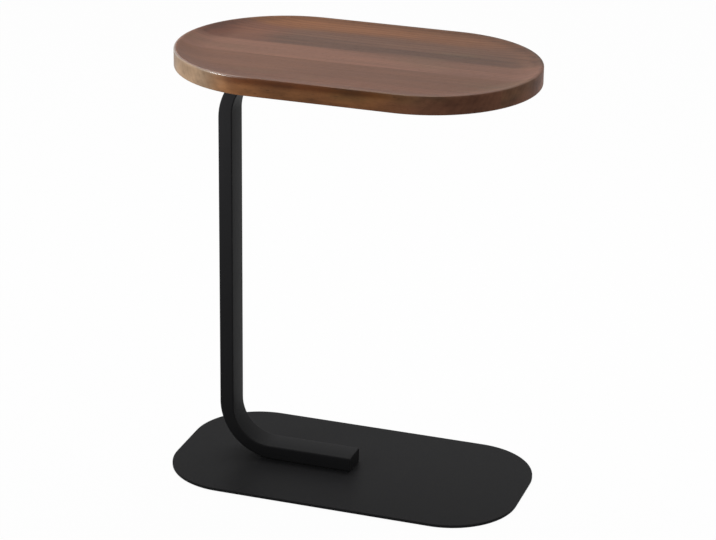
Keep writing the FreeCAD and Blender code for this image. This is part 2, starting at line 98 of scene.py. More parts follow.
def pick(piece, kind, passes):
    """Selects the vertices, edges or faces that pass a test on their middle and direction.

    An edge's direction is its own, a face's is its outward normal and a vertex has none.
    """
    bpy.ops.mesh.select_mode(type=kind)
    bpy.ops.mesh.select_all(action="DESELECT")
    cage = bmesh.from_edit_mesh(piece.data)
    cage.normal_update()
    if kind == "VERT":
        chosen = [v for v in cage.verts if passes(v.co)]
    elif kind == "EDGE":
        ends = [(edge, *(v.co for v in edge.verts)) for edge in cage.edges]
        chosen = [edge for edge, a, b in ends if passes((a + b) / 2, (b - a).normalized())]
    else:
        chosen = [f for f in cage.faces if passes(f.calc_center_median(), f.normal)]
    for item in chosen:
        item.select_set(True)
    cage.select_flush_mode()
    bmesh.update_edit_mesh(piece.data)


def everything(*_):
    return True


def near(a, b, tolerance=0.02 * MM):
    return abs(a - b) < tolerance


def extrude(move):
    bpy.ops.mesh.extrude_region_move(TRANSFORM_OT_translate={"value": move})


def merge_doubles():
    bpy.ops.mesh.select_all(action="SELECT")
    bpy.ops.mesh.remove_doubles(threshold=MERGE_DISTANCE)


def close(piece, finish=None, smooth_below=32):
    """Ends the editing: doubles merged, faces outwards, shaded smooth across shallow edges."""
    merge_doubles()
    bpy.ops.mesh.normals_make_consistent(inside=False)
    bpy.ops.object.mode_set(mode="OBJECT")
    shade(piece, smooth_below)
    if finish:
        coat(piece, finish)
    return piece


def shade(piece, smooth_below=32):
    take(piece)
    bpy.ops.object.shade_smooth_by_angle(angle=math.radians(smooth_below))


def coat(piece, finish):
    piece.data.materials.clear()
    piece.data.materials.append(finish)


def carve(piece, cutter, operation="DIFFERENCE"):
    """Takes the cutter's shape out of the piece, or keeps only what they share."""
    take(piece)
    modifier = piece.modifiers.new("carve", "BOOLEAN")
    modifier.operation = operation
    modifier.solver = "EXACT"
    modifier.object = cutter
    bpy.ops.object.modifier_apply(modifier=modifier.name)
    bpy.data.objects.remove(cutter)


def soften(piece, width, angle, steps=2):
    """Rounds every edge that is sharper than the angle."""
    take(piece)
    modifier = piece.modifiers.new("soften", "BEVEL")
    modifier.width = width
    modifier.segments = steps
    modifier.limit_method = "ANGLE"
    modifier.angle_limit = math.radians(angle)
    modifier.harden_normals = False
    bpy.ops.object.modifier_apply(modifier=modifier.name)


def twin(piece, name, move=(0, 0, 0), half_turn=False):
    """A copy with its own mesh, turned about the height axis and then moved."""
    copy = piece.copy()
    copy.name = name
    copy.data = piece.data.copy()
    copy.data.name = name
    bpy.context.scene.collection.objects.link(copy)
    turn = Matrix.Rotation(math.pi if half_turn else 0, 4, "Z")
    copy.data.transform(Matrix.Translation(move) @ turn)
    return copy


def join(pieces, name):
    let_go()
    for piece in pieces:
        piece.select_set(True)
    bpy.context.view_layer.objects.active = pieces[0]
    bpy.ops.object.join()
    pieces[0].name = pieces[0].data.name = name
    return pieces[0]


def fit(piece, slot, *nodes):
    """Says what the piece rides on and hides the nodes it stands for. The slot is not used."""
    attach(piece, BODY)
    if nodes:
        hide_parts(*nodes)


# ------------------------------------------------------------------ shader arithmetic

class Value:
    """A number socket that takes part in plain arithmetic."""

    def __init__(self, nodes, socket):
        self.nodes = nodes
        self.socket = socket

    def math(self, operation, *others):
        return self.nodes.math(operation, self, *others)

    def __add__(self, other):
        return self.math("ADD", other)

    def __sub__(self, other):
        return self.math("SUBTRACT", other)

    def __mul__(self, other):
        return self.math("MULTIPLY", other)

    def __truediv__(self, other):
        return self.math("DIVIDE", other)

    def __pow__(self, other):
        return self.math("POWER", other)

    def __gt__(self, other):
        return self.math("GREATER_THAN", other)

    def __neg__(self):
        return self * -1

    def __rsub__(self, other):
        return self.nodes.math("SUBTRACT", other, self)

    __radd__ = __add__
    __rmul__ = __mul__


def linear(red, green, blue):
    """A screen colour from 0 to 255 as the shader's own numbers."""
    def straighten(level):
        level /= 255
        return level / 12.92 if level <= 0.04045 else ((level + 0.055) / 1.055) ** 2.4
    return (straighten(red), straighten(green), straighten(blue), 1)


class Nodes:
    """The nodes of a material or of the world."""

    def __init__(self, owner):
        self.owner = owner
        owner.use_nodes = True
        self.tree = owner.node_tree
        self.tree.nodes.clear()

    def node(self, kind, settings=None, sockets=None):
        """Adds a node, makes its settings and then fills its sockets with values or links."""
        node = self.tree.nodes.new("ShaderNode" + kind)
        for name, setting in (settings or {}).items():
            if name == "stops":
                self.set_stops(node.color_ramp, setting)
            else:
                setattr(node, name, setting)
        for name, content in (sockets or {}).items():
            if isinstance(content, Value):
                content = content.socket
            if isinstance(content, bpy.types.NodeSocket):
                self.tree.links.new(content, node.inputs[name])
            else:
                node.inputs[name].default_value = content
        return node

    @staticmethod
    def set_stops(ramp, stops):
        for place, _ in stops[2:]:
            ramp.elements.new(place)
        for element, (place, colour) in zip(ramp.elements, stops):
            element.position = place
            element.color = colour

    def math(self, operation, *terms):
        sockets = dict(enumerate(terms))
        return Value(self, self.node("Math", {"operation": operation}, sockets).outputs[0])

    def place(self):
        """The three coordinates of the object itself, in metres."""
        return self.parts(self.node("TexCoord").outputs["Object"])

    def parts(self, vector):
        split = self.node("SeparateXYZ", None, {0: vector})
        return [Value(self, output) for output in split.outputs]

    def vector(self, x, y, z):
        return self.node("CombineXYZ", None, {0: x, 1: y, 2: z}).outputs[0]

    def noise(self, x, y, z, detail=2.0, roughness=0.5, distortion=0.0):
        """Smooth noise round 0, about from -0.5 to 0.5, one grain for each unit of x, y, z."""
        sockets = {"Vector": self.vector(x, y, z), "Scale": 1.0, "Detail": detail,
                   "Roughness": roughness, "Distortion": distortion}
        return Value(self, self.node("TexNoise", None, sockets).outputs[0]) - 0.5

    def step(self, value, low, high):
        """0 below low, 1 above high and a smooth rise between them."""
        sockets = {"Value": value, "From Min": low, "From Max": high}
        ramp = self.node("MapRange", {"interpolation_type": "SMOOTHSTEP"}, sockets)
        return Value(self, ramp.outputs[0])

    def clamp(self, value):
        return self.math("MINIMUM", self.math("MAXIMUM", value, 0), 1)

    def ramp(self, value, stops, interpolation="LINEAR"):
        ramp = self.node("ValToRGB", {"stops": stops}, {0: value})
        ramp.color_ramp.interpolation = interpolation
        return ramp.outputs["Color"]

    def mix(self, share, a, b, blend="MIX"):
        """Colour a turns into colour b, or takes b in by another way of blending."""
        settings = {"data_type": "RGBA", "blend_type": blend}
        mixer = self.node("Mix", settings, {0: share, 6: a, 7: b})
        return mixer.outputs[2]

    def bump(self, height, distance, strength=1.0):
        sockets = {"Height": height, "Distance": distance, "Strength": strength}
        return self.node("Bump", None, sockets).outputs["Normal"]


class Finish(Nodes):
    """A new material and its nodes."""

    def __init__(self, name):
        super().__init__(bpy.data.materials.new(name))

    def surface(self, **sockets):
        """Ends the material in one shader. Underscores in the names stand for spaces."""
        named = {name.replace("_", " "): content for name, content in sockets.items()}
        shader = self.node("BsdfPrincipled", None, named)
        self.node("OutputMaterial", None, {"Surface": shader.outputs[0]})
        return self.owner


# ------------------------------------------------------------------ the oiled wood

# Where one board of the top ends and the next begins, across the table.
BOARD_EDGES = [-88 * MM, -22 * MM, 37 * MM]
BOARD_COLOURS = [
    linear(110, 72, 53),
    linear(111, 73, 53),
    linear(123, 84, 66),
    linear(101, 70, 53),
]
BOARD_SEED = 7
LONGEST_SHIFT = 5               # boards are cut from far apart, so that their figure differs

LIGHT_FIGURE, LIGHT_FIGURE_SHARE = linear(142, 98, 72), 0.4
DARK_FIGURE, DARK_FIGURE_SHARE = linear(78, 48, 35), 0.4
OLIVE_WOOD, OLIVE_WOOD_SHARE = linear(104, 86, 58), 0.3
LATE_WOOD, LATE_WOOD_SHARE = linear(54, 31, 20), 0.22
LEFT_END_WOOD, LEFT_END_SHARE = linear(115, 72, 52), 0.85
# Darker red, painted as shade on the dish's slope at the left end.
SLOPE_SHADE_RED, SLOPE_SHADE_SHARE = linear(82, 38, 18), 0.66
# Paler wood on the wall of the left end, partly a painted sheen.
PALE_WOOD_AND_SHEEN, PALE_WOOD_AND_SHEEN_SHARE = linear(131, 116, 93), 0.6
# Orange of the back board's outer wood, partly painted light on the back slope of the dish.
ORANGE_WOOD_AND_SLOPE_LIGHT = linear(130, 83, 50)
ORANGE_AT_MIDDLE = 0.66
ORANGE_FADE = 1.9               # lost in each metre towards the open side

# The wall of the top is multiplied by these, all painted: the front wall warmer and darker to stand for
# less sheen, shade under the rim, and shade round the back of the left end.
LESS_SHEEN_TINT = (0.95, 0.92, 0.62, 1)
UNDER_RIM_SHADE_TINT = (0.58, 0.43, 0.28, 1)
LEFT_END_SHADE_TINT = (0.75, 0.85, 1.06, 1)

# The heart of the tree that the growth rings run round, below each board.
HEART_HEIGHT = 560 * MM
HEART_DROP = 30 * MM
HEART_ASIDE = 240 * MM
RING_TURN = 1150                # radians in a metre, so one ring each 5.5 mm
RING_WANDER = 30 * MM
RING_WOBBLE = 3.2
RINGS_LOST_ON_WALL = 0.55

# Where the painted shade lies on the dish's left slope, and the way it runs along that slope.
SLOPE_SHADE_X, SLOPE_SHADE_Y = -220 * MM, 66 * MM
SLOPE_SHADE_ALONG, SLOPE_SHADE_ACROSS = 0.47, 0.88      # the way it points
SLOPE_SHADE_SLIMNESS = 1.7

# How much tone a place loses, or gains where it is negative. All but the grey board are painted shade and
# painted light.
GREY_BOARD_SHADE = 0.17
BACK_RIM_SHADE = 0.27
FRONT_WALL_SHADE = 0.12
NEAR_SIDE_SHADE = -0.16

WOOD_END_CENTRE = 97.5 * MM     # middle of each round end
WOOD_SPREAD = 152.5 * MM        # from the spine between those middles to the outer wall


def oiled_wood():
    """Boards glued side by side, each with its own colour, growth rings and pores."""
    wood = Finish("oiled_wood")
    x, y, z = wood.place()
    board = sum((y > edge for edge in BOARD_EDGES), start=y * 0)
    chances = wood.node("TexWhiteNoise", {"noise_dimensions": "1D"}, {"W": board + BOARD_SEED})
    shift, heart_aside, heart_down = wood.parts(chances.outputs["Color"])
    along = x + shift * LONGEST_SHIFT

    def grain(lengthwise, crosswise, offset=0.0, **settings):
        """Noise drawn out along the boards, with this many grains in a metre each way."""
        return wood.noise(along * lengthwise + offset, y * crosswise, z * crosswise, **settings)

    figure = grain(3.2, 22)
    tint = grain(5, 16, offset=3, detail=3)
    bands = grain(3.5, 75, offset=9)
    streaks = grain(7, 150, detail=3, roughness=0.6)
    fibres = grain(45, 1300)
    pores = wood.step(grain(130, 2300, detail=1), 0.13, 0.24)

    from_heart = y + (heart_aside - 0.5) * HEART_ASIDE + grain(2.6, 9, detail=1) * RING_WANDER
    above_heart = z - HEART_HEIGHT + heart_down * HEART_DROP
    ring_radius = (from_heart * from_heart + above_heart * above_heart) ** 0.5
    rings = wood.math("SINE", ring_radius * RING_TURN + grain(14, 60) * RING_WOBBLE)
    late_wood = wood.step(rings, -0.1, 1.0)

    past_end = wood.math("MAXIMUM", wood.math("ABSOLUTE", x) - WOOD_END_CENTRE, 0)
    from_spine = (past_end * past_end + y * y) ** 0.5
    on_wall = wood.step(from_spine, WOOD_SPREAD - 1.6 * MM, WOOD_SPREAD - 0.6 * MM)

    # The boards, with light, dark and olive figure in them.
    boards = len(BOARD_COLOURS)
    stops = [((number + 0.5) / boards - 0.1, colour) for number, colour in enumerate(BOARD_COLOURS)]
    colour = wood.ramp((board + 0.5) / boards, stops, "CONSTANT")
    colour = wood.mix(wood.step(figure, 0.0, 0.32) * LIGHT_FIGURE_SHARE, colour, LIGHT_FIGURE)
    colour = wood.mix(wood.step(-figure, 0.02, 0.32) * DARK_FIGURE_SHARE, colour, DARK_FIGURE)
    colour = wood.mix(wood.step(tint, 0.02, 0.2) * OLIVE_WOOD_SHARE, colour, OLIVE_WOOD)

    # The back board has nearly the colour of its neighbour at the left end.
    left_end = (wood.step(-x + figure * 0.08 + y * 0.35, 135 * MM, 195 * MM)
                * wood.step(y, BOARD_EDGES[-1] - MM, BOARD_EDGES[-1]))
    colour = wood.mix(left_end * LEFT_END_SHARE, colour, LEFT_END_WOOD)

    # The orange of the back board is partly its outer wood and partly painted light on the dish's slope
    # behind, fading towards the open side.
    outer_wood_and_slope_light = wood.step(y + figure * 0.05 + tint * 0.03, 96 * MM, 122 * MM)
    orange = wood.clamp(outer_wood_and_slope_light * (ORANGE_AT_MIDDLE - x * ORANGE_FADE))
    colour = wood.mix(orange, colour, ORANGE_WOOD_AND_SLOPE_LIGHT)
    # A darker red patch along the dish's slope at the left end is painted shade.
    along_slope_shade = (x - SLOPE_SHADE_X) * SLOPE_SHADE_ALONG + (y - SLOPE_SHADE_Y) * SLOPE_SHADE_ACROSS
    across_slope_shade = ((y - SLOPE_SHADE_Y) * SLOPE_SHADE_ALONG - (x - SLOPE_SHADE_X) * SLOPE_SHADE_ACROSS) * SLOPE_SHADE_SLIMNESS
    from_slope_shade = (along_slope_shade * along_slope_shade + across_slope_shade * across_slope_shade) ** 0.5 + tint * 0.04
    slope_shade = 1 - wood.step(from_slope_shade, 12 * MM, 54 * MM)
    colour = wood.mix(slope_shade * SLOPE_SHADE_SHARE, colour, SLOPE_SHADE_RED)

    # The wall of the left end is paler: partly pale outer wood, partly a painted sheen of the light from
    # the left. Farther round towards the back it is painted greyer and darker, as shade.
    pale_and_sheen = on_wall * wood.step(-x + tint * 0.08 + figure * 0.03, 110 * MM, 162 * MM)
    colour = wood.mix(pale_and_sheen * PALE_WOOD_AND_SHEEN_SHARE, colour, PALE_WOOD_AND_SHEEN)
    colour = wood.mix(pale_and_sheen * wood.step(y, -110 * MM, -60 * MM), colour, LEFT_END_SHADE_TINT, "MULTIPLY")

    # The front wall is painted warmer and darker, to stand for less sheen there, and painted shade
    # darkens it under the rim.
    front_wall = on_wall * (1 - pale_and_sheen) * wood.step(-x, -150 * MM, -60 * MM)
    under_rim_shade = wood.step(z + figure * 0.008, 598 * MM, 606 * MM)
    colour = wood.mix(front_wall, colour, LESS_SHEEN_TINT, "MULTIPLY")
    colour = wood.mix(front_wall * under_rim_shade, colour, UNDER_RIM_SHADE_TINT, "MULTIPLY")

    colour = wood.mix(late_wood * (1 - on_wall * RINGS_LOST_ON_WALL) * LATE_WOOD_SHARE, colour, LATE_WOOD)

    # Darker: the front of the back board. Painted shade: the rim behind the dish and the left of the
    # front wall. Painted light, so paler: the near side of the dish, which faces the lamp behind.
    in_back_board = wood.step(y + figure * 0.012, 34 * MM, 42 * MM) * (1 - left_end)
    grey = (in_back_board * (1 - wood.step(y + figure * 0.03 + tint * 0.03, 55 * MM, 100 * MM))
            * wood.step(-x + figure * 0.06, -235 * MM, -150 * MM))
    back_rim = wood.step(from_spine + bands * 0.012, 133 * MM, 145 * MM) * wood.step(y, 20 * MM, 80 * MM)
    front_left = front_wall * wood.step(-x, 0.0, 90 * MM)
    near_side = (wood.step(-y + figure * 0.02, 84 * MM, 108 * MM) * (1 - on_wall)
                 * wood.step(x, -90 * MM, 0.0))
    shade = (grey * GREY_BOARD_SHADE + back_rim * BACK_RIM_SHADE
             + front_left * FRONT_WALL_SHADE + near_side * NEAR_SIDE_SHADE)

    blotch = on_wall * wood.noise(x * 24, y * 24, z * 42, detail=3)
    tone = (0.965 + bands * 0.34 + streaks * 0.5 + fibres * 0.22 - pores * 0.4
            - shade + blotch * 1.45)
    colour = wood.mix(1.0, colour, tone, "MULTIPLY")

    # Hands have polished the rim at the near left.
    polished = (wood.step(from_spine, WOOD_SPREAD - 3.2 * MM, WOOD_SPREAD - 2 * MM)
                * wood.step(z, 607.6 * MM, 608.6 * MM)
                * (0.12 + wood.step(-x, 80 * MM, 125 * MM) * 0.88)
                * wood.step(-y, -20 * MM, 30 * MM))
    relief = fibres * 0.35 - pores - late_wood * 0.2
    return wood.surface(
        Base_Color=colour,
        Roughness=0.49 + fibres * 0.16 + pores * 0.2,
        Specular_IOR_Level=0.10,
        Coat_Weight=polished,
        Coat_Roughness=0.26,
        Normal=wood.bump(relief, 0.12 * MM, 0.5),
    )


# ------------------------------------------------------------------ the other finishes

POWDER_DARK = linear(30, 30, 31)
POWDER_LIGHT = linear(37, 37, 38)
POWDER_SPECK = linear(46, 46, 47)
OXIDE_DARK, OXIDE_LIGHT = linear(40, 38, 38), linear(66, 60, 56)
ZINC_DARK, ZINC_LIGHT = linear(176, 180, 186), linear(206, 207, 205)
RUBBER_DARK, RUBBER_LIGHT = linear(24, 24, 24), linear(46, 45, 44)


def black_powder_coat():
    """Baked powder: black, satin, with the fine skin that the powder leaves."""
    powder = Finish("black_powder_coat")
    x, y, z = powder.place()
    skin = powder.noise(x * 900, y * 900, z * 900, detail=2)
    grit = powder.noise(x * 2600, y * 2600, z * 2600, detail=1)
    cloud = powder.noise(x * 14, y * 14, z * 14, detail=3)
    speck = powder.step(grit, 0.14, 0.26)
    colour = powder.mix(0.5 + cloud * 0.8, POWDER_DARK, POWDER_LIGHT)
    colour = powder.mix(speck * 0.3, colour, POWDER_SPECK)
    return powder.surface(
        Base_Color=colour,
        Roughness=0.44 + skin * 0.2 + cloud * 0.12,
        Specular_IOR_Level=0.026,
        Normal=powder.bump(skin + grit * 0.4, 0.10 * MM, 0.5),
    )


def blackened_steel():
    """Black oxide on steel, mottled with brown and finely scratched."""
    steel = Finish("blackened_steel")
    x, y, z = steel.place()
    mottle = steel.noise(x * 260, y * 260, z * 260, detail=3)
    scratch = steel.noise(x * 2400, y * 300, z * 2400, detail=2)
    colour = steel.mix(0.5 + mottle, OXIDE_DARK, OXIDE_LIGHT)
    return steel.surface(
        Base_Color=colour,
        Metallic=0.85,
        Roughness=0.42 + scratch * 0.25,
        Normal=steel.bump(scratch, 0.03 * MM, 0.6),
    )


def zinc_plated_steel():
    """Bright zinc with a faint bluish spangle and fine draw lines."""
    zinc = Finish("zinc_plated_steel")
    x, y, z = zinc.place()
    spangle = zinc.noise(x * 420, y * 420, z * 420, detail=2)
    lines = zinc.noise(x * 3000, y * 3000, z * 160, detail=1)
    colour = zinc.mix(0.5 + spangle, ZINC_DARK, ZINC_LIGHT)
    return zinc.surface(
        Base_Color=colour,
        Metallic=1.0,
        Roughness=0.32 + spangle * 0.2 + lines * 0.1,
        Normal=zinc.bump(lines, 0.02 * MM, 0.6),
    )


def black_rubber():
    """Matt rubber with the dusty bloom of a moulded pad."""
    rubber = Finish("black_rubber")
    x, y, z = rubber.place()
    bloom = rubber.noise(x * 120, y * 120, z * 120, detail=3)
    grain = rubber.noise(x * 2200, y * 2200, z * 2200, detail=1)
    colour = rubber.mix(0.5 + bloom, RUBBER_DARK, RUBBER_LIGHT)
    return rubber.surface(
        Base_Color=colour,
        Roughness=0.85 + grain * 0.15,
        Specular_IOR_Level=0.3,
        Normal=rubber.bump(grain, 0.06 * MM, 0.6),
    )


WOOD = oiled_wood()
POWDER = black_powder_coat()
BLACK_OXIDE = blackened_steel()
ZINC = zinc_plated_steel()
RUBBER = black_rubber()


# ------------------------------------------------------------------ what several pieces share

OVERLAP = 1 * MM                # how far a cutter reaches past what it cuts
TOP_SCREW_FLATS = 10 * MM       # across the head of a screw under the top


def drill(name, diameter, place, low, high):
    """A round cutter that stands between two heights."""
    cutter = start(bpy.ops.mesh.primitive_cylinder_add, name, vertices=32, radius=diameter / 2,
                   depth=high - low, location=(place[0], place[1], (low + high) / 2))
    return close(cutter)


def top_screw_places():
    """The middles of the four screws under the top, seen from above."""
    low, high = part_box("top_screws")
    inset = TOP_SCREW_FLATS / math.sqrt(3)
    xs = low.x + inset, high.x - inset
    ys = low.y + TOP_SCREW_FLATS / 2, high.y - TOP_SCREW_FLATS / 2
    return [(x, y) for x in xs for y in ys]


# ------------------------------------------------------------------ the dished top

RIM_WIDTH = 5 * MM              # level land round the dish
DISH_RUN = 38 * MM              # the hollow slope, seen from above
DISH_DEPTH = 8 * MM
WOOD_EDGE_ROUND = 1.9 * MM
CREST_ROUND = 1.3 * MM
ROUND_END_STEPS = 56            # in a quarter turn
DISH_STEPS = 12
WOOD_EDGE_STEPS = 5
CREST_STEPS = 4
WOOD_SMOOTH_BELOW = 40
WOOD_HOLE = 6 * MM
WOOD_HOLE_DEPTH = 14 * MM
FLOOR_LOOP_INSET = 2 * MM       # holds the flat of the dish apart from its slope


def hollow_steps():
    """How far in and how far down each ring of the hollow slope goes."""
    radius = (DISH_RUN ** 2 + DISH_DEPTH ** 2) / (2 * DISH_DEPTH)
    steepest = math.asin(DISH_RUN / radius)
    angles = [steepest * (1 - step / DISH_STEPS) for step in range(DISH_STEPS + 1)]
    for a, b in zip(angles, angles[1:]):
        yield radius * (math.sin(a) - math.sin(b)), radius * (math.cos(b) - math.cos(a))


def dished_top():
    """A stadium slab with rounded edges and a dish sunk into its face."""
    low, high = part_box("wooden_top")
    end_radius = (high.y - low.y) / 2
    end_centre = high.x - end_radius

    def from_spine(point):
        return math.hypot(max(abs(point.x) - end_centre, 0), point.y)

    piece = start_block("dished_top", low, high)
    pick(piece, "EDGE", lambda middle, along: abs(along.z) > 0.9)
    bpy.ops.mesh.bevel(offset=end_radius, segments=ROUND_END_STEPS, affect="EDGES")
    merge_doubles()
    pick(piece, "EDGE", lambda middle, along: abs(along.z) < 0.1)
    bpy.ops.mesh.bevel(offset=WOOD_EDGE_ROUND, segments=WOOD_EDGE_STEPS, affect="EDGES")

    pick(piece, "FACE", lambda middle, normal: normal.z > 0.999)
    bpy.ops.mesh.inset(thickness=RIM_WIDTH - WOOD_EDGE_ROUND, depth=0)
    for inwards, downwards in hollow_steps():
        bpy.ops.mesh.inset(thickness=inwards, depth=-downwards)
    bpy.ops.mesh.inset(thickness=FLOOR_LOOP_INSET, depth=0)

    def on_crest(middle, along):
        at_crest = near(from_spine(middle), end_radius - RIM_WIDTH, 0.1 * MM)
        return at_crest and near(middle.z, high.z) and near(along.z, 0, 0.01)

    pick(piece, "EDGE", on_crest)
    bpy.ops.mesh.bevel(offset=CREST_ROUND, segments=CREST_STEPS, affect="EDGES")
    close(piece, WOOD, WOOD_SMOOTH_BELOW)
    for place in top_screw_places():
        carve(piece, drill("pilot_hole", WOOD_HOLE, place, low.z - OVERLAP, low.z + WOOD_HOLE_DEPTH))
    shade(piece, WOOD_SMOOTH_BELOW)
    fit(piece, "oiled_wood", "wooden_top")


# ------------------------------------------------------------------ the bent tube

TUBE_WIDTH = 40 * MM
TUBE_DEPTH = 20 * MM
TUBE_CORNER = 2 * MM
BEND_OUTSIDE = 80 * MM          # radius on the outer face of the C
BEND_INSIDE = 53 * MM           # the press leaves the tube thinner in its bends
BEND_STEPS = 40
TUBE_CORNER_STEPS = 6
CUTTER_MARGIN = 50 * MM
CAP_EDGE = 0.6 * MM
CAP_SEAM = 0.25 * MM


def round_upright(piece, x, radius):
    """Rounds the two level edges that run across the table at this x."""
    pick(piece, "EDGE", lambda middle, along: near(middle.x, x) and abs(along.y) > 0.9)
    bpy.ops.mesh.bevel(offset=radius, segments=BEND_STEPS, affect="EDGES")


def bent_tube():
    """One length of rectangular tube, bent into a C: foot, upright and arm."""
    low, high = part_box("c_frame_tube")
    foot_plate_low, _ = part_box("foot_end_plate")
    foot_end = foot_plate_low.x
    inside_x = low.x + TUBE_DEPTH
    past_y = low.y - CUTTER_MARGIN, high.y + CUTTER_MARGIN
    past_x = high.x + CUTTER_MARGIN

    piece = start_block("bent_tube", low, high)
    round_upright(piece, low.x, BEND_OUTSIDE)
    close(piece)
    opening = start_block("opening", (inside_x, past_y[0], low.z + TUBE_DEPTH),
                          (past_x, past_y[1], high.z - TUBE_DEPTH))
    round_upright(opening, inside_x, BEND_INSIDE)
    carve(piece, close(opening))
    past_foot = start_block("past_foot", (foot_end, past_y[0], low.z - CUTTER_MARGIN),
                            (past_x, past_y[1], low.z + 2 * TUBE_DEPTH))
    carve(piece, close(past_foot))

    take(piece)
    bpy.ops.object.mode_set(mode="EDIT")

    def runs_along(middle, along):
        at_an_end = near(middle.x, foot_end) or near(middle.x, high.x)
        return near(abs(middle.y), TUBE_WIDTH / 2) and abs(along.y) < 0.1 and not at_an_end

    pick(piece, "EDGE", runs_along)
    bpy.ops.mesh.bevel(offset=TUBE_CORNER, segments=TUBE_CORNER_STEPS, affect="EDGES")
    close(piece, POWDER, smooth_below=30)
    fit(piece, "black_powder_coat", "c_frame_tube")


def rounded_section(name, x, height):
    """The outline of the tube as one upright face that looks along X."""
    piece = start(bpy.ops.mesh.primitive_plane_add, name, size=1, location=(x, 0, height),
                  rotation=(0, math.pi / 2, 0), scale=(TUBE_DEPTH, TUBE_WIDTH, 1))
    pick(piece, "VERT", everything)
    bpy.ops.mesh.bevel(offset=TUBE_CORNER, segments=TUBE_CORNER_STEPS, affect="VERTICES")
    pick(piece, "FACE", everything)
    return piece


def end_cap(name, node):
    """A welded plate over the end of the tube, ground flush, with a hairline seam."""
    low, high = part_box(node)
    piece = rounded_section(name, low.x, (low.z + high.z) / 2)
    extrude((high.x - low.x, 0, 0))
    for x, width, steps in ((high.x, CAP_EDGE, 4), (low.x, CAP_SEAM, 2)):
        pick(piece, "EDGE", lambda middle, along: near(middle.x, x) and near(along.x, 0, 0.01))
        bpy.ops.mesh.bevel(offset=width, segments=steps, affect="EDGES")
    close(piece, POWDER, smooth_below=50)
    fit(piece, "black_powder_coat", node)


# ------------------------------------------------------------------ what carries the top

BRACKET_THICKNESS = 3 * MM
BRACKET_BEND = 2 * MM           # inside the bend
BRACKET_CORNER_CUT = 6 * MM
BRACKET_HOLE = 6.6 * MM
BRACKET_EDGE = 0.35 * MM
WELD_RADIUS = 1.7 * MM
WELD_START = 0.7                # of that radius, at the lowest ring
WELD_RIPPLES = 7
WELD_SWELLS, WELD_SHRINKS = 1.38, 1 / 1.34
WELD_FROM_BOTTOM = 0.5 * MM
WELD_FROM_TOP = 5.5 * MM


def angle_brackets():
    """One bracket at the back left, copied to the other three places."""
    low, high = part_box("bracket_back_left")
    inner_y, inner_z = low.y + BRACKET_THICKNESS, high.z - BRACKET_THICKNESS
    piece = start_block("angle_bracket_back_left", (low.x, low.y, inner_z), high)
    # The level leg is split along the arm, and the upright leg grows down from the near strip.
    bpy.ops.mesh.select_all(action="SELECT")
    bpy.ops.mesh.bisect(plane_co=(0, inner_y, 0), plane_no=(0, 1, 0))
    pick(piece, "FACE", lambda middle, normal: normal.z < -0.9 and middle.y < inner_y)
    extrude((0, 0, low.z - inner_z))

    def bend(y, z):
        def passes(middle, along):
            return near(middle.y, y) and near(middle.z, z) and abs(along.x) > 0.9
        return passes

    pick(piece, "EDGE", bend(low.y, high.z))
    bpy.ops.mesh.bevel(offset=BRACKET_BEND + BRACKET_THICKNESS, segments=10, affect="EDGES")
    pick(piece, "EDGE", bend(inner_y, inner_z))
    bpy.ops.mesh.bevel(offset=BRACKET_BEND, segments=8, affect="EDGES")
    pick(piece, "EDGE", lambda middle, along: near(middle.y, high.y) and abs(along.z) > 0.9)
    bpy.ops.mesh.bevel(offset=BRACKET_CORNER_CUT, segments=1, affect="EDGES")
    close(piece, POWDER)
    middle_x = (low.x + high.x) / 2
    screw_y = max(y for _, y in top_screw_places())
    carve(piece, drill("bracket_hole", BRACKET_HOLE, (middle_x, screw_y), low.z, high.z + OVERLAP))
    soften(piece, BRACKET_EDGE, angle=40)
    shade(piece)

    right_low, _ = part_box("bracket_back_right")
    to_right = (right_low.x - low.x, 0, 0)
    brackets = {
        "bracket_back_left": piece,
        "bracket_back_right": twin(piece, "angle_bracket_back_right", to_right),
        "bracket_front_left": twin(piece, "angle_bracket_front_left",
                                   (2 * middle_x, 0, 0), half_turn=True),
        "bracket_front_right": twin(piece, "angle_bracket_front_right", half_turn=True),
    }
    for node, bracket in brackets.items():
        fit(bracket, "black_powder_coat", node)


def weld_bead(name, corner, bottom, top):
    """A fillet weld that runs up a corner, laid down ripple by ripple."""
    piece = start(bpy.ops.mesh.primitive_circle_add, name, vertices=14, radius=WELD_RADIUS * WELD_START,
                  fill_type="NGON", location=(corner[0], corner[1], bottom))
    pick(piece, "FACE", everything)
    rise = (top - bottom) / (2 * WELD_RIPPLES)
    for ripple in range(WELD_RIPPLES):
        for growth in (WELD_SWELLS, WELD_SHRINKS):
            extrude((0, 0, rise))
            bpy.ops.transform.resize(value=(growth, growth, 1))
    close(piece, POWDER, smooth_below=75)
    return piece


def weld_beads():
    """Stitches up both sides of each bracket, where it meets the arm."""
    low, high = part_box("bracket_back_left")
    first = weld_bead("arm_welds", (low.x, low.y), low.z + WELD_FROM_BOTTOM, high.z - WELD_FROM_TOP)
    beads = [first]
    for node in ("bracket_back_left", "bracket_back_right",
                 "bracket_front_left", "bracket_front_right"):
        node_low, node_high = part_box(node)
        side = node_low.y if "back" in node else node_high.y
        for x in (node_low.x, node_high.x):
            move = (x - low.x, side - low.y, 0)
            if Vector(move).length > MM:
                beads.append(twin(first, "bead", move))
    fit(join(beads, "arm_welds"), "black_powder_coat")


# ------------------------------------------------------------------ the screws under the top

TOP_SCREW_HEAD = 4 * MM
TOP_SCREW_SHANK = 5.9 * MM
HEAD_CONE = 1.02                # of the head's width across corners
HEAD_TURNED_DOWN = 0.9 * MM
HEAD_EDGE = 0.18 * MM
THREAD_RISE = 0.55 * MM         # half a turn of the thread
THREAD_WAIST = 0.78             # of the shank's width, between two turns
PLAIN_SHANK = 4 * MM
THREAD_SINK = 0.2 * MM          # the shank starts this far inside the head
TIP_LENGTH = 3.6 * MM
TIP_BLUNTNESS = 0.15            # of the shank's width


